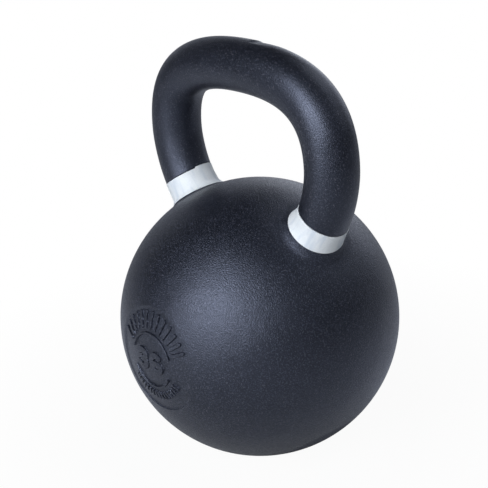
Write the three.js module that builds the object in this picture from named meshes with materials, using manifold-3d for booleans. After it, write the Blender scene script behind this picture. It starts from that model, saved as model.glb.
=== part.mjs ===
// Cast-iron kettlebell, in millimetres with +Z up.
// The origin is the middle of the flat foot. The handle loop stands in the XZ plane, and -Y is the front.
import * as THREE from "three";
import { mergeVertices, toCreasedNormals } from "three/addons/utils/BufferGeometryUtils.js";
import Module from "manifold-3d";

// ---------------------------------------------------------------- driving dimensions
const ballDiameter = 208;
const footDiameter = 110; // where the flat foot would meet the ball if its edge were sharp
const footEdgeRadius = 4;

const gripDiameter = 37.2;
const windowHeight = 68.4; // from the top of the ball to the underside of the grip
const handleWidth = 201.8; // over the outsides of the loop where it is widest
const widestAboveBall = 28.9; // height of that widest place over the top of the ball

const hornAngle = 37.4; // degrees from upright at which each horn meets the ball squarely
const hornStraightLength = 8; // straight run of a horn out of the ball
const hornRootDiameter = 39.2;
const hornFlareLength = 11; // over which a horn thickens from the grip to its root
const rootFilletRadius = 7.5; // between horn and ball

const bandWidth = 16;
const bandThickness = 1;
const bandProud = 0.3; // how far a band stands out of its horn
const bandClearance = 0.3; // between a band and every wall of its seat

// Each band's middle is this far out of the ball along its horn, and the band is turned this many degrees
// from square to its horn towards level.
const leftBand = { side: -1, distance: 7.4, tilt: 1.5 };
const rightBand = { side: 1, distance: 10.9, tilt: 4 };

// How far each curve of the loop leans on its end tangents, as a share of the span it covers.
const gripTension = 0.564;
const shoulderTension = 0.824;
const hornTension = 0.3;

// ---------------------------------------------------------------- fineness of the facets
const facetsRoundBall = 60;
const facetsRoundHorn = 36;
const footEdgeSteps = 3;
const lowerBallSteps = 10; // from the foot's rounded edge up to the widest place of the ball
const upperBallSteps = 16; // from there up to its top
const filletSteps = 5;
const loopSteps = 23; // from the top of one root fillet to the top of the grip
const creaseAngle = THREE.MathUtils.degToRad(35);

// ---------------------------------------------------------------- derived sizes
const ballRadius = ballDiameter / 2;
const gripRadius = gripDiameter / 2;
const hornRootRadius = hornRootDiameter / 2;
const ballCentreHeight = Math.sqrt(ballRadius ** 2 - (footDiameter / 2) ** 2);
const rootBurial = ballRadius / 4; // how far the loop runs on into the ball, so that the two join

// The fillet rolls in the corner between a horn and the ball. Its centre is seen in a plane through the
// middle of the horn: this far from that middle line, and this far out of the ball along it.
const filletAxisDistance = hornRootRadius + rootFilletRadius;
const filletHeight = Math.sqrt((ballRadius + rootFilletRadius) ** 2 - filletAxisDistance ** 2) - ballRadius;
const filletSweep = Math.acos(filletAxisDistance / (ballRadius + rootFilletRadius));

const wasm = await Module();
wasm.setup();

// ---------------------------------------------------------------- solids and meshes
function toSolid(geometry) {
  geometry.deleteAttribute("normal");
  geometry.deleteAttribute("uv");
  const merged = mergeVertices(geometry, 1e-5);
  const corners = merged.index.array;
  const triangles = [];
  for (let i = 0; i < corners.length; i += 3) {
    const [a, b, c] = corners.slice(i, i + 3);
    if (a !== b && b !== c && c !== a) {
      triangles.push(a, b, c);
    }
  }
  const mesh = new wasm.Mesh({
    numProp: 3,
    vertProperties: new Float32Array(merged.attributes.position.array),
    triVerts: new Uint32Array(triangles),
  });
  return new wasm.Manifold(mesh);
}

function toNamedMesh(name, solid, material) {
  const { vertProperties, triVerts } = solid.getMesh();
  const geometry = new THREE.BufferGeometry();
  geometry.setAttribute("position", new THREE.BufferAttribute(vertProperties, 3));
  geometry.setIndex(new THREE.BufferAttribute(triVerts, 1));
  const mesh = new THREE.Mesh(toCreasedNormals(geometry, creaseAngle), material);
  mesh.name = name;
  return mesh;
}

// ---------------------------------------------------------------- ball
// The outline runs from the middle of the foot, round its edge and up the ball to its top.
function ballOutline() {
  const edgeCentreX = Math.sqrt(
    (ballRadius - footEdgeRadius) ** 2 - (ballCentreHeight - footEdgeRadius) ** 2,
  );
  const edgeEnd = Math.atan2(footEdgeRadius - ballCentreHeight, edgeCentreX);
  return [
    new THREE.Vector2(0, 0),
    ...arcPoints(edgeCentreX, footEdgeRadius, footEdgeRadius, -Math.PI / 2, edgeEnd, footEdgeSteps),
    ...arcPoints(0, ballCentreHeight, ballRadius, edgeEnd, 0, lowerBallSteps),
    ...arcPoints(0, ballCentreHeight, ballRadius, 0, Math.PI / 2, upperBallSteps),
    new THREE.Vector2(0, ballCentreHeight + ballRadius),
  ];
}

// Points along an arc from one angle up to another, without the last one.
function arcPoints(centreX, centreZ, radius, from, to, steps) {
  const points = [];
  for (let i = 0; i < steps; i++) {
    const angle = THREE.MathUtils.lerp(from, to, i / steps);
    const [x, z] = [centreX + radius * Math.cos(angle), centreZ + radius * Math.sin(angle)];
    points.push(new THREE.Vector2(x, z));
  }
  return points;
}

function ballSolid() {
  const lathe = new THREE.LatheGeometry(ballOutline(), facetsRoundBall);
  return toSolid(lathe.rotateX(Math.PI / 2));
}

// ---------------------------------------------------------------- handle loop
// side is 1 for the horn at +X and -1 for the one at -X. A tilt turns the direction towards upright.
function hornDirection(side, tilt = 0) {
  const angle = THREE.MathUtils.degToRad(hornAngle - tilt);
  return new THREE.Vector3(side * Math.sin(angle), 0, Math.cos(angle));
}

// A place on the straight middle line of a horn, at this distance out of the ball.
function hornPoint(side, distance) {
  const place = hornDirection(side).multiplyScalar(ballRadius + distance);
  return place.add(new THREE.Vector3(0, 0, ballCentreHeight));
}

// The middle line of one half of the loop, from inside the ball up to the top of the grip.
function halfLoop(side) {
  const buried = hornPoint(side, -rootBurial);
  const spring = hornPoint(side, hornStraightLength);
  const ballTop = ballCentreHeight + ballRadius;
  const widest = new THREE.Vector3(side * (handleWidth / 2 - gripRadius), 0, ballTop + widestAboveBall);
  const crown = new THREE.Vector3(0, 0, ballTop + windowHeight + gripRadius);
  const hornReach = hornTension * spring.distanceTo(widest);
  const shoulderReach = shoulderTension * (crown.z - widest.z);
  return [
    new THREE.LineCurve3(buried, spring),
    new THREE.CubicBezierCurve3(
      spring,
      hornDirection(side).multiplyScalar(hornReach).add(spring),
      new THREE.Vector3(widest.x, 0, widest.z - hornReach),
      widest,
    ),
    new THREE.CubicBezierCurve3(
      widest,
      new THREE.Vector3(widest.x, 0, widest.z + shoulderReach),
      new THREE.Vector3(widest.x * gripTension, 0, crown.z),
      crown,
    ),
  ];
}

// Radius of the loop at this distance out of the ball: fillet, then flare, then plain grip.
function loopRadius(distance) {
  if (distance < filletHeight) {
    const drop = Math.min(filletHeight - distance, rootFilletRadius * Math.sin(filletSweep));
    return filletAxisDistance - Math.sqrt(rootFilletRadius ** 2 - drop ** 2);
  }
  const thinned = THREE.MathUtils.smoothstep(distance - filletHeight, 0, hornFlareLength);
  return THREE.MathUtils.lerp(hornRootRadius, gripRadius, thinned);
}

// Distances out of the ball at which one half of the loop has a ring of corners.
function ringDistances(halfLength) {
  const distances = [-rootBurial];
  for (let i = filletSteps; i > 0; i--) {
    distances.push(filletHeight - rootFilletRadius * Math.sin((filletSweep * i) / filletSteps));
  }
  for (let i = 0; i <= loopSteps; i++) {
    distances.push(THREE.MathUtils.lerp(filletHeight, halfLength, i / loopSteps));
  }
  return distances;
}

// One half of the loop as rings: middle, outward direction in the plane of the loop, and radius.
function halfRings(side) {
  const path = new THREE.CurvePath();
  halfLoop(side).forEach((curve) => path.add(curve));
  const length = path.getLength();
  return ringDistances(length - rootBurial).map((distance) => {
    const share = (distance + rootBurial) / length;
    const along = path.getTangent(share);
    return {
      middle: path.getPoint(share),
      outward: new THREE.Vector3(side * along.z, 0, -side * along.x),
      radius: loopRadius(distance),
    };
  });
}

// The whole loop as a closed solid, grown outward (or shrunk) by growth all round.
function loopSolid(growth = 0) {
  const right = halfRings(1);
  const left = halfRings(-1).reverse().slice(1);
  const rings = [...right, ...left];
  const positions = [];
  for (const { middle, outward, radius } of rings) {
    for (let i = 0; i < facetsRoundHorn; i++) {
      const angle = (2 * Math.PI * i) / facetsRoundHorn;
      const corner = outward.clone().multiplyScalar(Math.cos(angle));
      corner.y = Math.sin(angle);
      positions.push(...corner.multiplyScalar(radius + growth).add(middle));
    }
  }
  return toSolid(skinOfRings(positions, rings));
}

// Joins the rings' corners into a skin and closes both ends with fans about their middles.
function skinOfRings(positions, rings) {
  const ringCorner = (ring, i) => ring * facetsRoundHorn + (i % facetsRoundHorn);
  const lastRing = rings.length - 1;
  const firstMiddle = positions.length / 3;
  positions.push(...rings[0].middle, ...rings[lastRing].middle);
  const index = [];
  for (let i = 0; i < facetsRoundHorn; i++) {
    for (let ring = 0; ring < lastRing; ring++) {
      const [a, b] = [ringCorner(ring, i), ringCorner(ring, i + 1)];
      const [c, d] = [ringCorner(ring + 1, i), ringCorner(ring + 1, i + 1)];
      index.push(a, b, d, a, d, c);
    }
    index.push(firstMiddle, ringCorner(0, i + 1), ringCorner(0, i));
    index.push(firstMiddle + 1, ringCorner(lastRing, i), ringCorner(lastRing, i + 1));
  }
  const skin = new THREE.BufferGeometry();
  skin.setAttribute("position", new THREE.Float32BufferAttribute(positions, 3));
  skin.setIndex(index);
  return skin;
}

// ---------------------------------------------------------------- bands and their seats
// A round slice across a horn at one of its bands, wider than the horn.
function hornSlice({ side, distance, tilt }, width) {
  const radius = hornRootDiameter + rootFilletRadius;
  const slice = new THREE.CylinderGeometry(radius, radius, width, facetsRoundHorn);
  const facing = hornDirection(side, tilt);
  const turn = new THREE.Quaternion().setFromUnitVectors(new THREE.Vector3(0, 1, 0), facing);
  const middle = hornPoint(side, distance);
  slice.applyQuaternion(turn).translate(middle.x, middle.y, middle.z);
  return toSolid(slice);
}

function bandSolid(band) {
  const slice = hornSlice(band, bandWidth);
  return slice.intersect(loopSolid(bandProud)).subtract(loopSolid(bandProud - bandThickness));
}

function seatCut(band) {
  const slice = hornSlice(band, bandWidth + 2 * bandClearance);
  return slice.subtract(loopSolid(bandProud - bandThickness - bandClearance));
}

function castingSolid() {
  const body = ballSolid().add(loopSolid());
  return body.subtract(seatCut(leftBand)).subtract(seatCut(rightBand));
}

// ---------------------------------------------------------------- the kettlebell
const coatedIron = new THREE.MeshStandardMaterial({ color: 0x2b2d35, roughness: 0.6, metalness: 0.2 });
const silverPaint = new THREE.MeshStandardMaterial({ color: 0xdde3e8, roughness: 0.45, metalness: 0.6 });

const kettlebell = new THREE.Group();
kettlebell.add(toNamedMesh("bell_casting", castingSolid(), coatedIron));
kettlebell.add(toNamedMesh("weight_band_left", bandSolid(leftBand), silverPaint));
kettlebell.add(toNamedMesh("weight_band_right", bandSolid(rightBand), silverPaint));

export default kettlebell;
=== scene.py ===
"""Looks of the powder-coated iron kettlebell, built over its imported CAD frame.

Shapes are worked out in millimetres, with the ball's centre as the origin of every outline, and become
metres only when a mesh is made. The handle loop stands in the XZ plane and -Y is the front.
"""
import math

import bpy
import numpy as np
from mathutils import Matrix, Vector


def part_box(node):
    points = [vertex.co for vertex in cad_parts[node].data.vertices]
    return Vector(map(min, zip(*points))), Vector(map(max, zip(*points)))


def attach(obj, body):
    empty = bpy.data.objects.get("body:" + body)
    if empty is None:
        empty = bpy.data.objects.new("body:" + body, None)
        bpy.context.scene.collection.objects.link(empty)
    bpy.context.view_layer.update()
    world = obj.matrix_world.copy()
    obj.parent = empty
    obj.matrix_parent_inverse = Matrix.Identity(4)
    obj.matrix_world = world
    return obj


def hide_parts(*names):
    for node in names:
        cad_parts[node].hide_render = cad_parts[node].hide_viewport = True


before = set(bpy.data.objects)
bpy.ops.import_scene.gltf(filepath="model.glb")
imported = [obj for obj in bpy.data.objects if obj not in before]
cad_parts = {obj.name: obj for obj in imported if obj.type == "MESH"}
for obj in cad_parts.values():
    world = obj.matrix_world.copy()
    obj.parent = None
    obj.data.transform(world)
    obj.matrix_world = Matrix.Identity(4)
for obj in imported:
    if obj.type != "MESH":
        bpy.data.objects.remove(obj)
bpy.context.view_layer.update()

MM = 0.001
FULL_TURN = 2 * math.pi

# ---------------------------------------------------------------- sizes of the casting, as in its CAD model
casting_low, casting_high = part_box("bell_casting")
BALL_RADIUS = (casting_high.x - casting_low.x) / 2 / MM
FOOT_DIAMETER = 110.0
FOOT_EDGE_RADIUS = 4.0
CENTRE_HEIGHT = math.sqrt(BALL_RADIUS**2 - (FOOT_DIAMETER / 2) ** 2)
CENTRE = np.array([0.0, 0.0, CENTRE_HEIGHT])

GRIP_RADIUS = 18.6
GRIP_TOP = casting_high.z / MM - CENTRE_HEIGHT
HANDLE_WIDTH = 201.8
WIDEST_ABOVE_BALL = 28.9
HORN_ANGLE = math.radians(37.4)
HORN_STRAIGHT = 8.0
HORN_FLARE_END = 15.0
ROOT_BURIAL = BALL_RADIUS / 4
GRIP_TENSION = 0.564
SHOULDER_TENSION = 0.824
HORN_TENSION = 0.3

BAND_THICKNESS = 1.0
BAND_PROUD = 0.3
BAND_CLEARANCE = 0.3
SIDE = {"left": -1, "right": 1}

# ---------------------------------------------------------------- roots of the horns, seen only here
# Each root fillet's radius, and the radius of the circle where it runs out on the ball.
ROOTS = {"left": (8.0, 24.9), "right": (6.8, 26.0)}
SKIRT_RADIUS = 31.0  # how far from a horn's middle line its soft root reaches over the ball
SKIRT_SPARE = 6.0  # how much more of the ball is drawn, so that it can be smoothed up to there
GRIP_SPARE = 9.0  # the same beyond the top of the grip
SOFTEN_SIZE = 0.9
SOFTEN_REACH = 3 * SOFTEN_SIZE
# Between these reaches the rings turn from square to the straight horn to square to the loop's own line.
SQUARE_RINGS_END = (24, 60)

# ---------------------------------------------------------------- bands and their seats, seen only here
# Each edge of a hand-painted band: how far out of the ball its middle is, how far it rises towards the
# outside and the back of its horn, how far it steps where its ends meet and at what angle in degrees, and
# how far it sags at both sides of another angle.
BAND_EDGES = {
    "left": {
        "low": dict(middle=-1.35, outwards=0.05, back=-0.85, step=0.0, meet=0, sag=0.0, about=0),
        "high": dict(middle=16.35, outwards=1.31, back=0.62, step=0.9, meet=195, sag=0.0, about=0),
    },
    "right": {
        "low": dict(middle=4.0, outwards=1.2, back=0.5, step=0.0, meet=0, sag=0.8, about=260),
        "high": dict(middle=17.75, outwards=1.9, back=-0.9, step=0.0, meet=0, sag=1.0, about=280),
    },
}
BAND_FADE = 25.0  # how far up the loop its rings still lean with the edge of its band
SEAT_EDGE_ROUND = 0.2
BAND_EDGE_ROUND = 0.15
ROUND_SHARE = 0.3  # how far in the middle corner of a rounded edge lies, as a share of the edge's size

# ---------------------------------------------------------------- mark of the ground-off casting gate
GATE_START = 9.0  # how far from the middle of the grip it begins, at its deepest
GATE_END = 30.0  # where it has run out
GATE_DEPTH = 0.9
GATE_EDGE = 0.6  # half the width of the slope at its start
GATE_BACK = 5.0  # how far behind the grip's top its middle is
GATE_WIDTHS = (5.0, 9.0)  # half widths over which its depth runs out

# ---------------------------------------------------------------- medallion
# Its angles are in degrees, counter-clockwise from its right.
MEDALLION_TILT = math.radians(1.2)  # how far the medallion's middle sits above the ball's
# Its own directions: out of the ball, to its right and up.
MEDALLION_OUT = np.array([0, -math.cos(MEDALLION_TILT), math.sin(MEDALLION_TILT)])
MEDALLION_RIGHT = np.array([1.0, 0, 0])
MEDALLION_UP = np.array([0, math.sin(MEDALLION_TILT), math.cos(MEDALLION_TILT)])
MEDALLION_RADIUS = 38.9
MEDALLION_DEPTH = 0.95
MEDALLION_RIM_DEPTHS = (0.08, 0.75)  # the small step at its rim, and the sharper one along its bottom
MEDALLION_SLOPE = 3.5  # how far in its floor slopes down from the rim
MEDALLION_SLOPE_CHANGES = (-0.5, 2.2)  # shares by which that changes along its bottom and on its right
# The middle of each of these two stretches, how far from it the change is whole, and where it is gone.
MEDALLION_BOTTOM = (277, 35, 60)
MEDALLION_RIGHT_SIDE = (10, 20, 70)
RELIEF_HEIGHT = 1.3
RELIEF_SLOPE = 0.35  # width of the sloping side of every raised edge
RELIEF_ROOM = 0.98  # how much of the room between the ball and its front plane the relief may fill
RING_RADIUS = 20.2
RING_WIDTH = 1.5
RING_GAPS = ((-29, 16), (164, 205))
UPPER_BARS = dict(middle_angle=90, pitch=11, count=13, inner=23.5, outer=36.0, width=2.6)
LOWER_BARS = dict(middle_angle=275, pitch=7.2, count=16, inner=24.2, outer=30.2, width=1.7)
NUMERAL_HEIGHT = 17.0
NUMERAL_WIDTH = 13.8
NUMERAL_STROKE = 4.6
NUMERAL_SPACING = 15.0
NUMERAL_MIDDLE = -0.6
THREE_END = 158  # how far round each bowl of the 3 runs
THREE_UPPER_WIDTH = 0.92  # as a share of its lower bowl's
SIX_STEM = (215, 48)  # the angles between which the stem of the 6 runs
SIX_BOWL_HEIGHT = 0.47  # as a share of the whole 6

# ---------------------------------------------------------------- fineness of the meshes
LINE_STEPS = (200, 400, 800)  # points along a horn's straight, its bend and the shoulder with half the grip
FLARE_ROUNDS = 80  # rounds in which the start of a flare settles
SQUARE_ROUNDS = 14  # rounds in which the distances of a square ring settle
SKIRT_STEP = 0.2
FILLET_POINTS = 40
FLARE_POINTS = 60
GRIP_STEP = 0.5
SOFTEN_STEP = 0.1
ROOT_STEP = 0.6
LOOP_SEGMENTS = 192
LOOP_STEP = 1.0
SEAT_RINGS = 18
BAND_RINGS = 34
BAND_INSIDE_RINGS = 12
ARC_POINTS = 28
BALL_SEGMENTS = 210
BALL_STEP = 3.0
FINER = 4  # how many times more finely the medallion is meshed round its middle
MEDALLION_SEGMENTS = FINER * BALL_SEGMENTS
MEDALLION_STEP = 0.27
MEDALLION_SPARE = 1.5  # how far the fine mesh runs on past the medallion
FOOT_SEGMENTS = 256
FOOT_EDGE_POINTS = 12
FOOT_BODY_RUN = 90.0  # how far the body that cuts the foot runs straight on from the rounded edge
CREASE_ANGLE = math.radians(50)  # edges that turn more than this are shaded sharp

# ---------------------------------------------------------------- powder coat
# Every noise is its size in millimetres and its detail, and its limits are the levels between which its
# effect goes from nothing to whole. Depths are in millimetres.
COAT_DARK, COAT_PALE = (0.0028, 0.0034, 0.0055), (0.0044, 0.0052, 0.0081)
COAT_PATCH_NOISE, COAT_PATCH_LIMITS = (9.0, 3.0), (0.35, 0.65)
SPECKLE_COLOUR = (0.030, 0.033, 0.048)
SPECKLE_NOISE, SPECKLE_LIMITS = (0.85, 1.0), (0.53, 0.69)
FLECK_COLOUR = (0.040, 0.040, 0.050)
FLECK_NOISE, FLECK_LIMITS = (1.0, 0.0), (0.68, 0.76)
COAT_ROUGHNESS = 0.40
COAT_ROUGHNESS_CHANGE = 0.08
COAT_ROUGHNESS_NOISE, COAT_ROUGHNESS_LIMITS = (0.7, 0.0), (0.32, 0.68)
COAT_GLOSS = 0.69
COAT_TINT = (0.69, 0.76, 1.0, 1)
CASTING_WAVE_NOISE, CASTING_WAVE_DEPTH = (34.0, 1.0), 0.9
COAT_PEEL_NOISE, COAT_PEEL_DEPTH = (1.4, 1.0), 0.06
COAT_GRAIN_NOISE, COAT_GRAIN_DEPTH = (0.75, 0.0), 0.25
HANDLE_COARSENESS = 0.58  # share of the ball's grain that the smoother handle has
HANDLE_HEIGHTS = (6.0, 22.0)  # over the ball, between which the coat turns smoother
ROOT_DULLNESS = 0.18  # how much rougher the coat is in the hollows round the horns
ROOT_DULL_HEIGHTS = (5.0, 10.0)
ROOT_DULL_RADII = (27.0, 32.0)

# ---------------------------------------------------------------- silver paint
PAINT_PALE, PAINT_GREY = (0.655, 0.68, 0.70), (0.53, 0.575, 0.63)
PAINT_SPECKLE_COLOUR, PAINT_SPECKLE_SHARE = (0.42, 0.45, 0.49), 0.15
PAINT_SPECKLE_NOISE, PAINT_SPECKLE_LIMITS = (1.0, 2.0), (0.35, 0.65)
PAINT_METALLIC = 0.1
PAINT_ROUGHNESS, PAINT_ROUGHNESS_LIMITS = (0.62, 0.74), (0.3, 0.7)
BRUSH_STRETCH = 0.85  # how far the brush marks are drawn out along the horn
STREAK_NOISE, STREAK_LIMITS = (5.0, 2.0), (0.5, 0.68)
BRUSH_NOISE, BRUSH_DEPTH = (0.9, 1.0), 0.05
PAINT_WAVE_NOISE, PAINT_WAVE_DEPTH = (6.0, 2.0), 0.10
PAINT_GRAIN_NOISE, PAINT_GRAIN_DEPTH = (1.0, 2.0), 0.05

# ---------------------------------------------------------------- camera
CAMERA_AZIMUTH, CAMERA_ELEVATION = 50.0, 21.94
CAMERA_ROLL = math.radians(-3.77)
CAMERA_DISTANCE = 869.6
CAMERA_AIM = (-5.3, -6.3, 58.4)  # from the ball's centre
CAMERA_LENS = 87.6
SENSOR_WIDTH = 36.0

# ---------------------------------------------------------------- light; metres, watts and degrees
WHITE = (1.0, 1.0, 1.0)
LAMP_COLOUR = (0.95, 0.985, 1.03)
# Each lamp's azimuth, elevation, distance, width, height and power.
LAMPS = {
    "key": (8, 38, 1.3, 0.8, 0.8, 6.4),
    "strip": (4, 29, 1.3, 0.45, 0.8, 6.6),
    "low": (-4, 7, 1.3, 0.8, 0.5, 3.8),
    "accent": (30, 27, 1.3, 0.5, 0.5, 5.0),
    "rim": (-150, 12, 1.4, 1.0, 0.4, 1.0),
    "side": (135, 36, 1.3, 0.8, 0.8, 1.35),
    "back": (172, 56, 1.4, 0.8, 0.8, 2.4),
    "right": (68, 28, 1.4, 1.2, 1.0, 1.3),
    "left": (-90, 20, 1.3, 0.7, 0.7, 0.2),
}
BACKDROP_COLOUR = (0.91, 0.97, 1.12)
BACKDROP_AZIMUTH = -130
# Each glow's azimuth and elevation, the cosines at which it begins and is whole, and its strength.
BACKDROP_GLOWS = (((-164, 7), (0.84, 0.96), 1.15), ((-122, -4), (0.80, 0.97), 0.6))
SKY_FRONT, SKY_BEHIND = 0.08, 0.01
SKY_HEIGHTS = (0.15, 0.5)  # how steeply upwards the faint sky begins and is whole
SKY_TURN = (-0.3, 0.3)  # cosines from the backdrop's azimuth over which it goes from front to behind

# ---------------------------------------------------------------- floor, in metres from the object's middle
FLOOR_SIZE = 60.0
FLOOR_TONE = 0.56
FLOOR_SHADOW_SHARE = 0.05  # how much of its real shading shows near the object
FLOOR_SHADOW_REACH = (0.12, 0.35)  # over which that fades out
FLOOR_MIRRORED = 0.50  # how bright its open part behind the object is in reflections
FLOOR_MIRRORED_COLOUR = (0.93, 1.0, 1.19)
FLOOR_MIRRORED_AZIMUTH = -145  # the way in which that part lies
FLOOR_MIRRORED_REACH = (-0.12, 0.02)  # that way, over which it brightens
FLOOR_SHADED_REACH = (0.06, 0.12)  # all round, over which the shaded floor at the foot brightens
FLOOR_FAR_REACH = (0.2, 0.45)  # over which the open part fades again, to this share
FLOOR_FAR_GAIN = 0.35


# ---------------------------------------------------------------- meshes
def make_mesh(name, points, faces):
    """A smooth-shaded mesh object from corners in millimetres about the ball's centre."""
    mesh = bpy.data.meshes.new(name)
    mesh.from_pydata(((points + CENTRE) * MM).tolist(), [], faces)
    mesh.shade_smooth()
    made = bpy.data.objects.new(name, mesh)
    bpy.context.scene.collection.objects.link(made)
    return made


def closed_tube(name, rings):
    """A mesh of rings of points that follow each other, closed by a flat face at both ends."""
    count, around = len(rings), len(rings[0])
    faces = []
    for i in range(count - 1):
        a, b = i * around, (i + 1) * around
        for j in range(around):
            k = (j + 1) % around
            faces.append((a + j, a + k, b + k, b + j))
    faces.append(tuple(reversed(range(around))))
    faces.append(tuple(range((count - 1) * around, count * around)))
    return make_mesh(name, np.vstack(rings), faces)


def ring_faces(start, rings, count):
    """Quads between rings of points that follow each other from a first point's number."""
    faces = []
    for i in range(rings - 1):
        a, b = start + i * count, start + (i + 1) * count
        for j in range(count):
            k = (j + 1) % count
            faces.append((a + j, b + j, b + k, a + k))
    return faces


def smoothstep(value, low, high):
    """0 below the low limit, 1 above the high one, and a smooth slope between them."""
    share = np.clip((value - low) / (high - low), 0, 1)
    return share * share * (3 - 2 * share)


def full_circle(count):
    """Evenly spaced angles once round."""
    return np.linspace(0, FULL_TURN, count, endpoint=False)


# ---------------------------------------------------------------- the loop's middle line and thickness
def horn_axis():
    """The direction of the right horn in X and Z."""
    return np.array([math.sin(HORN_ANGLE), math.cos(HORN_ANGLE)])


def bezier(corners, count):
    """Points along a cubic curve from its first corner to its last."""
    t = np.linspace(0, 1, count)[:, None]
    a, b, c, d = (np.array(corner, float) for corner in corners)
    return (1 - t) ** 3 * a + 3 * (1 - t) ** 2 * t * b + 3 * (1 - t) * t**2 * c + t**3 * d


def half_loop_line():
    """The middle line of the right half in X and Z: distances out of the ball, points and tangents."""
    axis = horn_axis()
    buried = axis * (BALL_RADIUS - ROOT_BURIAL)
    spring = axis * (BALL_RADIUS + HORN_STRAIGHT)
    widest = np.array([HANDLE_WIDTH / 2 - GRIP_RADIUS, BALL_RADIUS + WIDEST_ABOVE_BALL])
    crown = np.array([0, GRIP_TOP - GRIP_RADIUS])
    horn_reach = HORN_TENSION * np.linalg.norm(widest - spring)
    shoulder_reach = SHOULDER_TENSION * (crown[1] - widest[1])
    straight_steps, horn_steps, grip_steps = LINE_STEPS
    straight = np.linspace(buried, spring, straight_steps)
    horn = bezier([spring, spring + axis * horn_reach, widest - [0, horn_reach], widest], horn_steps)
    over_shoulder = widest + [0, shoulder_reach]
    grip = bezier([widest, over_shoulder, (widest[0] * GRIP_TENSION, crown[1]), crown], grip_steps)
    line = np.vstack([straight, horn[1:], grip[1:]])
    steps = np.linalg.norm(np.diff(line, axis=0), axis=1)
    distance = np.concatenate([[0], np.cumsum(steps)]) - ROOT_BURIAL
    tangent = np.gradient(line, distance, axis=0)
    tangent[-1] = (-1, 0)
    return distance, line, tangent / np.linalg.norm(tangent, axis=1)[:, None]


LINE_DISTANCE, LINE_POINT, LINE_TANGENT = half_loop_line()
HALF_LENGTH = LINE_DISTANCE[-1]


def soften(outline):
    """An outline in even short steps, with its corners rounded off over about a millimetre."""
    steps = np.hypot(*np.diff(outline, axis=0).T)
    along = np.concatenate([[0], np.cumsum(steps)])
    even = np.arange(0, along[-1], SOFTEN_STEP)
    width = round(SOFTEN_REACH / SOFTEN_STEP)
    offsets = np.arange(-width, width + 1) * SOFTEN_STEP
    weights = np.exp(-0.5 * (offsets / SOFTEN_SIZE) ** 2)
    weights /= weights.sum()
    smooth = []
    for i in (0, 1):
        line = np.interp(even, along, outline[:, i])
        padded = np.pad(line, width, mode="reflect", reflect_type="odd")
        smooth.append(np.convolve(padded, weights, "valid"))
    return smooth


class Root:
    """The foot of one horn: the ball runs through a fillet into a short flare, all on soft slopes.

    Its outline is drawn as reaches out of the ball along the horn, and radii round the horn's middle line.
    """

    def __init__(self, side_name):
        self.fillet_radius, contact_radius = ROOTS[side_name]
        centre_reach = BALL_RADIUS + self.fillet_radius
        self.axis_distance = contact_radius * centre_reach / BALL_RADIUS
        self.height = math.sqrt(centre_reach**2 - self.axis_distance**2) - BALL_RADIUS
        angle, start, radius = self.flare_start()
        turn = np.linspace(math.acos(self.axis_distance / centre_reach), angle, FILLET_POINTS)
        fillet = np.stack(self.on_fillet(turn), axis=1)
        out = np.linspace(start, HORN_FLARE_END, FLARE_POINTS)[1:]
        left = 1 - (out - start) / (HORN_FLARE_END - start)
        flare = np.stack([out, GRIP_RADIUS + (radius - GRIP_RADIUS) * left**2], axis=1)
        outline = [self.skirt(contact_radius), fillet, flare, self.grip()]
        self.reach, self.skin = soften(np.vstack(outline))
        steps = np.hypot(np.diff(self.reach), np.diff(self.skin))
        self.along = np.concatenate([[0], np.cumsum(steps)])

    def on_fillet(self, turn):
        """Reach and radius on the fillet, at an angle from where it runs along the horn."""
        reach = self.height - self.fillet_radius * np.sin(turn)
        return reach, self.axis_distance - self.fillet_radius * np.cos(turn)

    def flare_start(self):
        """Angle on the fillet, reach and radius at which the flare goes on from it with the same slope."""
        slope = 0.0
        for _ in range(FLARE_ROUNDS):
            angle = math.atan(slope)
            start, radius = self.on_fillet(angle)
            slope = 2 * (radius - GRIP_RADIUS) / (HORN_FLARE_END - start)
        return angle, start, radius

    def skirt(self, contact_radius):
        """The ball's own surface, from beyond the skirt in to the fillet."""
        radius = np.arange(SKIRT_RADIUS + SKIRT_SPARE, contact_radius, -SKIRT_STEP)
        return np.stack([np.sqrt(BALL_RADIUS**2 - radius**2) - BALL_RADIUS, radius], axis=1)

    def grip(self):
        """The plain round bar, from the end of the flare to beyond the grip's top."""
        reach = np.arange(HORN_FLARE_END + GRIP_STEP, HALF_LENGTH + GRIP_SPARE, GRIP_STEP)
        return np.stack([reach, np.full(reach.shape, GRIP_RADIUS)], axis=1)

    def radius(self, distance):
        """Radius of the loop at a distance out of the ball."""
        return np.interp(distance, self.reach, self.skin)

    def ring_reaches(self, last):
        """Reaches of the rings from the skirt up to the last, evenly spaced along the skin."""
        start = np.interp(SKIRT_RADIUS, self.skin[::-1], self.along[::-1])
        end = np.interp(last, self.reach, self.along)
        count = round((end.mean() - start) / ROOT_STEP)
        shares = np.linspace(0, 1, count)[:-1]
        return [np.interp(start + (end - start) * share, self.along, self.reach) for share in shares]


ROOT = {side_name: Root(side_name) for side_name in SIDE}


def loop_point(side_name, distance, angle, growth=0.0):
    """Points on the loop's skin; angle runs round it from the outside of the loop towards the back."""
    middle_x, middle_z = (np.interp(distance, LINE_DISTANCE, LINE_POINT[:, i]) for i in (0, 1))
    along_x, along_z = (np.interp(distance, LINE_DISTANCE, LINE_TANGENT[:, i]) for i in (0, 1))
    radius = ROOT[side_name].radius(distance) + growth
    outward = radius * np.cos(angle)
    x = middle_x + along_z * outward
    z = middle_z - along_x * outward
    return np.stack([SIDE[side_name] * x, radius * np.sin(angle), z], axis=-1)


def square_distance(side_name, reach, angle, growth=0.0):
    """Distance along the loop at which its skin meets a plane square to the horn at this reach."""
    axis = horn_axis()
    distance = reach + 0 * angle
    for _ in range(SQUARE_ROUNDS):
        points = loop_point(side_name, distance, angle, growth)
        reached = abs(points[..., 0]) * axis[0] + points[..., 2] * axis[1] - BALL_RADIUS
        distance = distance - (reached - reach)
    return distance


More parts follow.
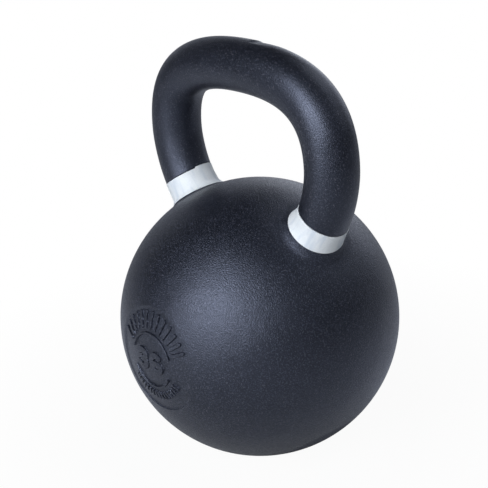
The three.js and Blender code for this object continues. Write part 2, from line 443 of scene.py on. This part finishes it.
def band_edge(side_name, edge_name, angle):
    """How far out of the ball an edge of a band runs, at each angle round its horn."""
    edge = BAND_EDGES[side_name][edge_name]
    lean = edge["outwards"] * np.cos(angle) + edge["back"] * np.sin(angle)
    turn = ((angle - math.radians(edge["meet"])) / FULL_TURN) % 1
    sagged = edge["sag"] * np.sin(angle - math.radians(edge["about"])) ** 2
    return edge["middle"] + lean + edge["step"] * turn - sagged


# ---------------------------------------------------------------- casting: the loop
def seat_rings(side_name, angle):
    """Reach and growth of each ring where the seat of a band is cut into the horn."""
    low = band_edge(side_name, "low", angle) - BAND_CLEARANCE
    high = band_edge(side_name, "high", angle) + BAND_CLEARANCE
    depth = BAND_PROUD - BAND_THICKNESS - BAND_CLEARANCE
    edge = SEAT_EDGE_ROUND
    part = ROUND_SHARE * edge
    lower_wall = [(low - edge, 0), (low - part, -part), (low, -edge), (low, depth)]
    floor = [(low + (high - low) * share, depth) for share in np.linspace(0, 1, SEAT_RINGS)[1:-1]]
    upper_wall = [(high, depth), (high, -edge), (high + part, -part), (high + edge, 0)]
    return lower_wall + floor + upper_wall


def half_loop_rings(side_name, angle):
    """Reach and growth of each ring of one half of the loop, from inside the ball to the grip's top."""
    seat = seat_rings(side_name, angle)
    first, last = seat[0][0], seat[-1][0]
    below = [(reach, 0) for reach in ROOT[side_name].ring_reaches(first)]
    above = []
    middle = last.mean()
    for reach in np.linspace(middle, HALF_LENGTH, round((HALF_LENGTH - middle) / LOOP_STEP))[1:]:
        above.append((reach + (last - middle) * (1 - smoothstep(reach, middle, middle + BAND_FADE)), 0))
    return [(-ROOT_BURIAL + 0 * angle, 0), *below, *seat, *above]


def gate_mark(points):
    """How deep the ground-off casting gate bites into the top of the grip."""
    x, y, z = points[..., 0], points[..., 1], points[..., 2]
    slope = np.clip((GATE_END - x) / (GATE_END - GATE_START), 0, 1)
    edge = smoothstep(x, GATE_START - GATE_EDGE, GATE_START + GATE_EDGE)
    across = 1 - smoothstep(np.abs(y - GATE_BACK), *GATE_WIDTHS)
    return GATE_DEPTH * slope * edge * across * (z > GRIP_TOP - GRIP_RADIUS)


def half_loop_points(side_name):
    """Corners of one half of the loop, ring by ring."""
    angle = full_circle(LOOP_SEGMENTS)
    rings = []
    for reach, growth in half_loop_rings(side_name, angle):
        square = square_distance(side_name, reach, angle, growth)
        turned = smoothstep(reach, *SQUARE_RINGS_END)
        distance = square * (1 - turned) + reach * turned
        points = loop_point(side_name, distance, angle, growth)
        bite = gate_mark(points)
        if bite.any():
            points = loop_point(side_name, distance, angle, growth - bite)
        rings.append(points)
    return rings


def make_loop():
    """The closed handle loop, from inside the ball through both horns and the grip."""
    return closed_tube("loop", half_loop_points("right") + half_loop_points("left")[::-1][1:])


# ---------------------------------------------------------------- casting: the medallion's relief
def stroke_distance(u, v, line):
    """Distance from each place to a bent line, given as a list of corners."""
    nearest = np.full(u.shape, np.inf)
    for (ax, ay), (bx, by) in zip(line[:-1], line[1:]):
        dx, dy = bx - ax, by - ay
        share = np.clip(((u - ax) * dx + (v - ay) * dy) / (dx * dx + dy * dy), 0, 1)
        nearest = np.minimum(nearest, np.hypot(u - ax - share * dx, v - ay - share * dy))
    return nearest


def oval_arc(centre, half_width, half_height, start, end):
    """Corners along an oval between two angles in degrees."""
    angles = np.radians(np.linspace(start, end, ARC_POINTS))
    return [(centre[0] + half_width * math.cos(a), centre[1] + half_height * math.sin(a)) for a in angles]


def numeral_three(middle):
    """The middle lines of a 3's strokes: an open bowl over a wider one."""
    half_width = (NUMERAL_WIDTH - NUMERAL_STROKE) / 2
    bowl = (NUMERAL_HEIGHT - NUMERAL_STROKE) / 4
    upper = oval_arc((middle, bowl), half_width * THREE_UPPER_WIDTH, bowl, THREE_END, -90)
    lower = oval_arc((middle, -bowl), half_width, bowl, 90, -THREE_END)
    return [upper, lower]


def numeral_six(middle):
    """The middle lines of a 6's strokes: a curved stem and a closed bowl."""
    half_width = (NUMERAL_WIDTH - NUMERAL_STROKE) / 2
    half_height = (NUMERAL_HEIGHT - NUMERAL_STROKE) / 2
    bowl = half_height * SIX_BOWL_HEIGHT
    stem = oval_arc((middle, 0), half_width, half_height, *SIX_STEM)
    ring = oval_arc((middle, bowl - half_height), half_width, bowl, 0, 360)
    return [stem, ring]


def raised(edge_distance):
    """1 on a raised part, 0 off it, with a sloping side; the distance is negative inside the part."""
    return 1 - smoothstep(edge_distance, -RELIEF_SLOPE / 2, RELIEF_SLOPE / 2)


def numeral_relief(u, v):
    """The raised 36 in the middle of the medallion."""
    strokes = numeral_three(NUMERAL_MIDDLE - NUMERAL_SPACING / 2)
    strokes += numeral_six(NUMERAL_MIDDLE + NUMERAL_SPACING / 2)
    nearest = np.min([stroke_distance(u, v, line) for line in strokes], axis=0)
    return raised(nearest - NUMERAL_STROKE / 2)


def ring_relief(u, v):
    """The raised ring round the numerals, broken by its gaps."""
    angle = np.degrees(np.arctan2(v, u))
    gap = np.zeros(u.shape, bool)
    for start, end in RING_GAPS:
        gap |= (angle - start) % 360 < end - start
    return np.where(gap, 0, raised(np.abs(np.hypot(u, v) - RING_RADIUS) - RING_WIDTH / 2))


def bar_relief(u, v, middle_angle, pitch, count, inner, outer, width):
    """A row of plain radial bars, evenly spaced about an angle in degrees."""
    relief = np.zeros(u.shape)
    for i in range(count):
        angle = math.radians(middle_angle + pitch * (i - (count - 1) / 2))
        ends = [(r * math.cos(angle), r * math.sin(angle)) for r in (inner + width / 2, outer - width / 2)]
        relief = np.maximum(relief, raised(stroke_distance(u, v, ends) - width / 2))
    return relief


def near_angle(u, v, middle, full, none):
    """1 near an angle in degrees, falling to 0 between two distances from it."""
    away = np.abs((np.degrees(np.arctan2(v, u)) - middle + 180) % 360 - 180)
    return 1 - smoothstep(away, full, none)


def recess_depth(u, v):
    """How deep the medallion's sloping floor lies inside the ball."""
    inward = MEDALLION_RADIUS - np.hypot(u, v)
    plain, sharp = MEDALLION_RIM_DEPTHS
    shorter, longer = MEDALLION_SLOPE_CHANGES
    bottom = near_angle(u, v, *MEDALLION_BOTTOM)
    right = near_angle(u, v, *MEDALLION_RIGHT_SIDE)
    step = plain + (sharp - plain) * bottom
    slope = MEDALLION_SLOPE * (1 + shorter * bottom + longer * right)
    return step * raised(-inward) + (MEDALLION_DEPTH - step) * smoothstep(inward / slope, 0, 1)


def medallion_relief(u, v):
    """How far the skin sits inside the ball, in a recess with raised numerals, ring and bars.

    At the ball's foremost point they reach just its own surface. Further out they may stand out of the ball,
    as long as they stay behind that point.
    """
    upper_bars, lower_bars = bar_relief(u, v, **UPPER_BARS), bar_relief(u, v, **LOWER_BARS)
    relief = np.maximum.reduce([numeral_relief(u, v), ring_relief(u, v), upper_bars, lower_bars])
    from_front = np.hypot(u, v + BALL_RADIUS * math.sin(MEDALLION_TILT))
    room = RELIEF_ROOM * from_front**2 / (2 * BALL_RADIUS)
    height = np.minimum(RELIEF_HEIGHT, MEDALLION_DEPTH + room)
    return recess_depth(u, v) - height * relief


# ---------------------------------------------------------------- casting: the ball
def ball_rings(first, last, count, segments):
    """Directions from the ball's centre, in rings about the medallion's middle."""
    polar = np.linspace(first, last, count)[:, None]
    turn = full_circle(segments)[None]
    u, v = np.sin(polar) * np.cos(turn), np.sin(polar) * np.sin(turn)
    w = np.cos(polar) + 0 * turn
    return u[..., None] * MEDALLION_RIGHT + v[..., None] * MEDALLION_UP + w[..., None] * MEDALLION_OUT


def make_foot_body():
    """A turned body that is the ball round its foot, and bigger than the ball everywhere else."""
    edge_z = CENTRE_HEIGHT - FOOT_EDGE_RADIUS
    edge_x = math.sqrt((BALL_RADIUS - FOOT_EDGE_RADIUS) ** 2 - edge_z**2)
    last = math.atan2(-edge_z, edge_x)
    outline = []
    for angle in np.linspace(-math.pi / 2, last, FOOT_EDGE_POINTS):
        x, z = edge_x + FOOT_EDGE_RADIUS * math.cos(angle), FOOT_EDGE_RADIUS * math.sin(angle) - edge_z
        outline.append((x, z))
    x, z = x - FOOT_BODY_RUN * math.sin(last), z + FOOT_BODY_RUN * math.cos(last)
    outline += [(x, z), (x, 2 * BALL_RADIUS)]
    turn = full_circle(FOOT_SEGMENTS)
    rings = [np.stack([x * np.cos(turn), x * np.sin(turn), z + 0 * turn], axis=-1) for x, z in outline]
    return closed_tube("foot_body", rings)


def make_ball():
    """The ball, finely meshed on its medallion and more coarsely round the rest."""
    edge = math.asin((MEDALLION_RADIUS + MEDALLION_SPARE) / BALL_RADIUS)
    fine_count = round(edge * BALL_RADIUS / MEDALLION_STEP)
    coarse_count = round((math.pi - edge) * BALL_RADIUS / BALL_STEP)
    fine = ball_rings(edge / fine_count, edge, fine_count, MEDALLION_SEGMENTS)
    coarse_step = (math.pi - edge) / (coarse_count + 1)
    coarse = ball_rings(edge + coarse_step, math.pi - coarse_step, coarse_count, BALL_SEGMENTS)
    u, v = fine @ MEDALLION_RIGHT * BALL_RADIUS, fine @ MEDALLION_UP * BALL_RADIUS
    fine = fine * (BALL_RADIUS - medallion_relief(u, v))[..., None]
    middle = BALL_RADIUS - float(medallion_relief(np.zeros(1), np.zeros(1))[0])
    rings = [fine.reshape(-1, 3), coarse.reshape(-1, 3) * BALL_RADIUS]
    points = np.vstack([MEDALLION_OUT * middle, *rings, -MEDALLION_OUT * BALL_RADIUS])
    return make_mesh("ball", points, ball_faces(fine_count, coarse_count))


def ball_faces(fine_count, coarse_count):
    """Faces from the medallion's middle through its fine rings and the coarse rings to the far side."""
    outermost = 1 + (fine_count - 1) * MEDALLION_SEGMENTS
    start = outermost + MEDALLION_SEGMENTS
    final = start + (coarse_count - 1) * BALL_SEGMENTS
    far_side = final + BALL_SEGMENTS
    faces = [(0, 1 + j, 1 + (j + 1) % MEDALLION_SEGMENTS) for j in range(MEDALLION_SEGMENTS)]
    faces += ring_faces(1, fine_count, MEDALLION_SEGMENTS)
    for j in range(BALL_SEGMENTS):
        inside = [outermost + (FINER * j + i) % MEDALLION_SEGMENTS for i in range(FINER + 1)]
        faces.append((*reversed(inside), start + j, start + (j + 1) % BALL_SEGMENTS))
    faces += ring_faces(start, coarse_count, BALL_SEGMENTS)
    faces += [(far_side, final + (j + 1) % BALL_SEGMENTS, final + j) for j in range(BALL_SEGMENTS)]
    return faces


def join(target, other, operation):
    """Cuts or joins one closed mesh with another, and removes the other."""
    boolean = target.modifiers.new("boolean", "BOOLEAN")
    boolean.operation = operation
    boolean.solver = "MANIFOLD"
    boolean.object = other
    evaluated = target.evaluated_get(bpy.context.evaluated_depsgraph_get())
    result = bpy.data.meshes.new_from_object(evaluated)
    target.modifiers.clear()
    target.data = result
    bpy.data.objects.remove(other)
    return target


def make_casting():
    """The iron: the ball cut flat at its foot, with the loop joined on."""
    casting = join(make_ball(), make_foot_body(), "INTERSECT")
    casting = join(casting, make_loop(), "UNION")
    casting.name = "bell_casting_fine"
    casting.data.shade_smooth()
    casting.data.set_sharp_from_angle(angle=CREASE_ANGLE)
    return casting


# ---------------------------------------------------------------- bands
def band_profile():
    """The band's section, once round from its lower inside edge.

    Each corner is its share of the way up the band, its reach beyond that, and its growth.
    """
    inner, outer, edge = BAND_PROUD - BAND_THICKNESS, BAND_PROUD, BAND_EDGE_ROUND
    part = ROUND_SHARE * edge
    lower_edge = [(0, 0, inner), (0, 0, outer - edge), (0, part, outer - part)]
    face = [(share, edge * (1 - 2 * share), outer) for share in np.linspace(0, 1, BAND_RINGS)]
    upper_edge = [(1, -part, outer - part), (1, 0, outer - edge), (1, 0, inner)]
    inside = [(share, 0, inner) for share in np.linspace(1, 0, BAND_INSIDE_RINGS)[1:-1]]
    return lower_edge + face + upper_edge + inside


def make_band(side_name):
    """One band: its section carried round the horn, with uneven edges."""
    angle = full_circle(LOOP_SEGMENTS)
    low, high = band_edge(side_name, "low", angle), band_edge(side_name, "high", angle)
    rings = []
    for share, beyond, growth in band_profile():
        reach = low + (high - low) * share + beyond
        distance = square_distance(side_name, reach, angle, growth)
        rings.append(loop_point(side_name, distance, angle, growth))
    points = np.vstack(rings)
    faces = []
    for face in ring_faces(0, len(rings) + 1, LOOP_SEGMENTS):
        corners = tuple(corner % len(points) for corner in face)
        faces.append(corners if side_name == "left" else corners[::-1])
    return make_mesh(f"weight_band_{side_name}_fine", points, faces)


# ---------------------------------------------------------------- node trees
class Nodes:
    """A short hand for building one node tree on one kind of texture coordinates."""

    def __init__(self, tree, coordinates):
        self.tree = tree
        self.place = self.add("ShaderNodeTexCoord").outputs[coordinates]

    def add(self, kind, inputs=(), **settings):
        """A new node with these settings and inputs."""
        node = self.tree.nodes.new(kind)
        for key, value in settings.items():
            setattr(node, key, value)
        self.fill(node, dict(inputs))
        return node

    def fill(self, node, inputs):
        """Links each input of a node, or sets it to a plain value."""
        for key, value in inputs.items():
            if isinstance(value, bpy.types.NodeSocket):
                self.tree.links.new(value, node.inputs[key])
            else:
                node.inputs[key].default_value = value

    def noise(self, size, detail, place=None):
        """Noise whose features are about this many millimetres across."""
        wanted = {"Vector": place or self.place, "Scale": 1 / (size * MM), "Detail": detail}
        return self.add("ShaderNodeTexNoise", wanted).outputs["Fac"]

    def ramp(self, value, low, high, to_low=0.0, to_high=1.0, **settings):
        """A value carried from one range to another, and held at its ends."""
        wanted = {"Value": value, "From Min": low, "From Max": high, "To Min": to_low, "To Max": to_high}
        return self.add("ShaderNodeMapRange", wanted, **settings).outputs["Result"]

    def mix(self, share, first, second):
        """A mix of two colours, each a socket or three numbers."""
        wanted = {0: share, 6: first, 7: second}
        for key in (6, 7):
            if not isinstance(wanted[key], bpy.types.NodeSocket):
                wanted[key] = (*wanted[key], 1)
        return self.add("ShaderNodeMix", wanted, data_type="RGBA").outputs[2]

    def bump(self, height, depth, before=None):
        """A bump of this depth in millimetres over whatever bump came before."""
        wanted = {"Height": height, "Distance": depth * MM}
        if before:
            wanted["Normal"] = before
        return self.add("ShaderNodeBump", wanted).outputs["Normal"]

    def math(self, operation, first, second):
        return self.add("ShaderNodeMath", {0: first, 1: second}, operation=operation).outputs[0]

    def vector_math(self, operation, *inputs):
        return self.add("ShaderNodeVectorMath", dict(enumerate(inputs)), operation=operation).outputs

    def vector(self, operation, *inputs):
        """A vector operation whose result is a vector."""
        return self.vector_math(operation, *inputs)["Vector"]

    def number(self, operation, *inputs):
        """A vector operation whose result is a number."""
        return self.vector_math(operation, *inputs)["Value"]


class Material(Nodes):
    """A short hand for building one material round its shader."""

    def __init__(self, name):
        self.material = bpy.data.materials.new(name)
        self.material.use_nodes = True
        super().__init__(self.material.node_tree, "Object")
        self.shader = self.tree.nodes["Principled BSDF"]

    def shade(self, inputs):
        """Sets or links inputs of the material's shader."""
        self.fill(self.shader, inputs)


# ---------------------------------------------------------------- materials
def horn_direction(side_name):
    """The direction in which a horn leaves the ball."""
    axis = horn_axis()
    return Vector((SIDE[side_name] * axis[0], 0, axis[1]))


def over_ball(nodes, from_centre, heights, low, high):
    """A value that goes from low to high between two heights over the ball's surface."""
    reach = nodes.number("LENGTH", from_centre)
    return nodes.ramp(reach, *(MM * (BALL_RADIUS + height) for height in heights), low, high)


def near_roots(nodes, from_centre):
    """A mask that is 1 in the hollow round the foot of each horn and 0 elsewhere."""
    limits = [MM * radius for radius in ROOT_DULL_RADII]
    masks = []
    for side_name in SIDE:
        across = nodes.vector("CROSS_PRODUCT", from_centre, horn_direction(side_name))
        masks.append(nodes.ramp(nodes.number("LENGTH", across), *limits, 1, 0))
    hollow = over_ball(nodes, from_centre, ROOT_DULL_HEIGHTS, 1, 0)
    return nodes.math("MULTIPLY", hollow, nodes.math("ADD", *masks))


def coat_colour(nodes, coarseness):
    """Near-black with a bluish cast, in slow patches under a pale speckle and a few paler flecks."""
    patches = nodes.ramp(nodes.noise(*COAT_PATCH_NOISE), *COAT_PATCH_LIMITS)
    tone = nodes.mix(patches, COAT_DARK, COAT_PALE)
    speckle = nodes.ramp(nodes.noise(*SPECKLE_NOISE), *SPECKLE_LIMITS)
    tone = nodes.mix(nodes.math("MULTIPLY", speckle, coarseness), tone, SPECKLE_COLOUR)
    flecks = nodes.ramp(nodes.noise(*FLECK_NOISE), *FLECK_LIMITS)
    return nodes.mix(flecks, tone, FLECK_COLOUR)


def coat_roughness(nodes, coarseness, from_centre):
    """A roughness that changes with the grain and is higher in the hollows round the horns."""
    spread = (-COAT_ROUGHNESS_CHANGE, COAT_ROUGHNESS_CHANGE)
    change = nodes.ramp(nodes.noise(*COAT_ROUGHNESS_NOISE), *COAT_ROUGHNESS_LIMITS, *spread)
    grainy = nodes.math("ADD", nodes.math("MULTIPLY", change, coarseness), COAT_ROUGHNESS)
    duller = nodes.math("MULTIPLY", near_roots(nodes, from_centre), ROOT_DULLNESS)
    return nodes.math("ADD", grainy, duller)


def powder_coat():
    """Matte powder coat: fine speckled grain over a faintly uneven casting, smoother on the handle."""
    nodes = Material("powder_coat")
    from_centre = nodes.vector("SUBTRACT", nodes.place, Vector(CENTRE) * MM)
    coarseness = over_ball(nodes, from_centre, HANDLE_HEIGHTS, 1, HANDLE_COARSENESS)
    wave = nodes.bump(nodes.noise(*CASTING_WAVE_NOISE), CASTING_WAVE_DEPTH)
    peel = nodes.bump(nodes.noise(*COAT_PEEL_NOISE), COAT_PEEL_DEPTH, wave)
    grain = nodes.math("MULTIPLY", nodes.noise(*COAT_GRAIN_NOISE), coarseness)
    nodes.shade({
        "Base Color": coat_colour(nodes, coarseness),
        "Roughness": coat_roughness(nodes, coarseness, from_centre),
        "Specular IOR Level": COAT_GLOSS,
        "Specular Tint": COAT_TINT,
        "Normal": nodes.bump(grain, COAT_GRAIN_DEPTH, peel),
    })
    return nodes.material


def silver_paint(side_name):
    """Pale silver paint brushed along the horn, with soft grey-blue streaks and a fine speckle."""
    nodes = Material(f"silver_paint_{side_name}")
    along = horn_direction(side_name)
    share = nodes.number("DOT_PRODUCT", nodes.place, along)
    part = nodes.add("ShaderNodeVectorMath", {0: along, "Scale": share}, operation="SCALE").outputs[0]
    brushed = nodes.vector("MULTIPLY_ADD", part, (-BRUSH_STRETCH,) * 3, nodes.place)
    streaks = nodes.noise(*STREAK_NOISE, place=brushed)
    tone = nodes.mix(nodes.ramp(streaks, *STREAK_LIMITS), PAINT_PALE, PAINT_GREY)
    speckle = nodes.ramp(nodes.noise(*PAINT_SPECKLE_NOISE), *PAINT_SPECKLE_LIMITS)
    speckled = nodes.mix(PAINT_SPECKLE_SHARE, tone, PAINT_SPECKLE_COLOUR)
    wave = nodes.bump(nodes.noise(*PAINT_WAVE_NOISE), PAINT_WAVE_DEPTH)
    brush = nodes.bump(nodes.noise(*BRUSH_NOISE, place=brushed), BRUSH_DEPTH, wave)
    nodes.shade({
        "Base Color": nodes.mix(speckle, speckled, tone),
        "Metallic": PAINT_METALLIC,
        "Roughness": nodes.ramp(streaks, *PAINT_ROUGHNESS_LIMITS, *PAINT_ROUGHNESS),
        "Normal": nodes.bump(nodes.noise(*PAINT_GRAIN_NOISE), PAINT_GRAIN_DEPTH, brush),
    })
    return nodes.material


# ---------------------------------------------------------------- stage, camera and light
def direction(azimuth, elevation):
    """A direction; azimuth 0 is the front (-Y) and 90 is +X, both angles in degrees."""
    a, e = math.radians(azimuth), math.radians(elevation)
    return Vector((math.sin(a) * math.cos(e), -math.cos(a) * math.cos(e), math.sin(e)))


def white_floor():
    """Plain white to the camera, but for a soft shadow round the object.

    In reflections, the open floor behind the object is bright.
    """
    nodes = Material("floor_white")
    nodes.shade({"Base Color": (FLOOR_TONE,) * 3 + (1,), "Roughness": 1, "Specular IOR Level": 0})
    rays = nodes.add("ShaderNodeLightPath").outputs
    from_middle = nodes.number("LENGTH", nodes.place)
    plain = nodes.ramp(from_middle, *FLOOR_SHADOW_REACH, 1 - FLOOR_SHADOW_SHARE, 1)
    to_camera = nodes.math("MULTIPLY", rays["Is Camera Ray"], plain)
    behind = nodes.number("DOT_PRODUCT", nodes.place, direction(FLOOR_MIRRORED_AZIMUTH, 0))
    bright = nodes.ramp(behind, *FLOOR_MIRRORED_REACH, 0, FLOOR_MIRRORED)
    for reach, near, far in ((FLOOR_SHADED_REACH, 0, 1), (FLOOR_FAR_REACH, 1, FLOOR_FAR_GAIN)):
        bright = nodes.math("MULTIPLY", bright, nodes.ramp(from_middle, *reach, near, far))
    mirrored = nodes.math("MULTIPLY", rays["Is Glossy Ray"], bright)
    colour = nodes.mix(rays["Is Camera Ray"], FLOOR_MIRRORED_COLOUR, WHITE)
    glow = nodes.add("ShaderNodeEmission", {"Color": colour, "Strength": 1}).outputs[0]
    parts = {0: nodes.math("ADD", to_camera, mirrored), 1: nodes.shader.outputs[0], 2: glow}
    mixer = nodes.add("ShaderNodeMixShader", parts)
    nodes.fill(nodes.tree.nodes["Material Output"], {"Surface": mixer.outputs[0]})
    return nodes.material


def make_floor():
    """A wide flat floor at the height of the foot."""
    mesh = bpy.data.meshes.new("floor")
    half = FLOOR_SIZE / 2
    corners = [(-half, -half, 0), (half, -half, 0), (half, half, 0), (-half, half, 0)]
    mesh.from_pydata(corners, [], [(0, 1, 2, 3)])
    mesh.materials.append(white_floor())
    floor = bpy.data.objects.new("floor", mesh)
    bpy.context.scene.collection.objects.link(floor)


def make_world():
    """Backdrop: plain white to the camera; on the object, a faint sky overhead and two glows behind it."""
    world = bpy.data.worlds.new("studio")
    bpy.context.scene.world = world
    world.use_nodes = True
    nodes = Nodes(world.node_tree, "Generated")

    def between(value, limits, low, high):
        return nodes.ramp(value, *limits, low, high, interpolation_type="SMOOTHSTEP")

    def towards(azimuth, elevation):
        return nodes.number("DOT_PRODUCT", nodes.place, direction(azimuth, elevation))

    height = nodes.number("DOT_PRODUCT", nodes.place, (0, 0, 1))
    sky = between(towards(BACKDROP_AZIMUTH, 0), SKY_TURN, SKY_FRONT, SKY_BEHIND)
    level = nodes.math("MULTIPLY", between(height, SKY_HEIGHTS, 0, 1), sky)
    for middle, limits, brightness in BACKDROP_GLOWS:
        level = nodes.math("ADD", level, between(towards(*middle), limits, 0, brightness))
    seen = nodes.add("ShaderNodeLightPath").outputs["Is Camera Ray"]
    strength = nodes.add("ShaderNodeMix", {0: seen, 2: level, 3: 1.0}, data_type="FLOAT").outputs[0]
    colour = nodes.mix(seen, BACKDROP_COLOUR, WHITE)
    nodes.fill(nodes.tree.nodes["Background"], {"Color": colour, "Strength": strength})


def make_softbox(name, azimuth, elevation, distance, width, height, power):
    """A large lamp that faces the middle of the ball."""
    lamp = bpy.data.lights.new(name, "AREA")
    lamp.shape = "RECTANGLE"
    lamp.size, lamp.size_y = width, height
    lamp.energy = power
    lamp.color = LAMP_COLOUR
    box = bpy.data.objects.new(name, lamp)
    back = direction(azimuth, elevation)
    box.location = Vector(CENTRE) * MM + back * distance
    box.rotation_mode = "QUATERNION"
    box.rotation_quaternion = (-back).to_track_quat("-Z", "Y")
    bpy.context.scene.collection.objects.link(box)


def make_camera():
    """The camera, with its aim measured from the ball's centre and a slight roll."""
    camera = bpy.data.cameras.new("camera")
    camera.lens, camera.sensor_width = CAMERA_LENS, SENSOR_WIDTH
    holder = bpy.data.objects.new("camera", camera)
    bpy.context.scene.collection.objects.link(holder)
    back = direction(CAMERA_AZIMUTH, CAMERA_ELEVATION)
    right = Vector((0, 0, 1)).cross(back).normalized()
    up = back.cross(right)
    turn = Matrix((right, up, back)).transposed().to_4x4() @ Matrix.Rotation(CAMERA_ROLL, 4, "Z")
    place = Vector(CAMERA_AIM) + Vector(CENTRE) + back * CAMERA_DISTANCE
    holder.matrix_world = Matrix.Translation(place * MM) @ turn
    bpy.context.scene.camera = holder


make_camera()
make_world()
make_floor()
for name, settings in LAMPS.items():
    make_softbox(name, *settings)

casting = make_casting()
casting.data.materials.clear()
casting.data.materials.append(powder_coat())
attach(casting, "root")
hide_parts("bell_casting")

for side_name in SIDE:
    band = make_band(side_name)
    band.data.materials.append(silver_paint(side_name))
    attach(band, "root")
    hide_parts(f"weight_band_{side_name}")

bpy.context.scene.view_settings.view_transform = "Standard"
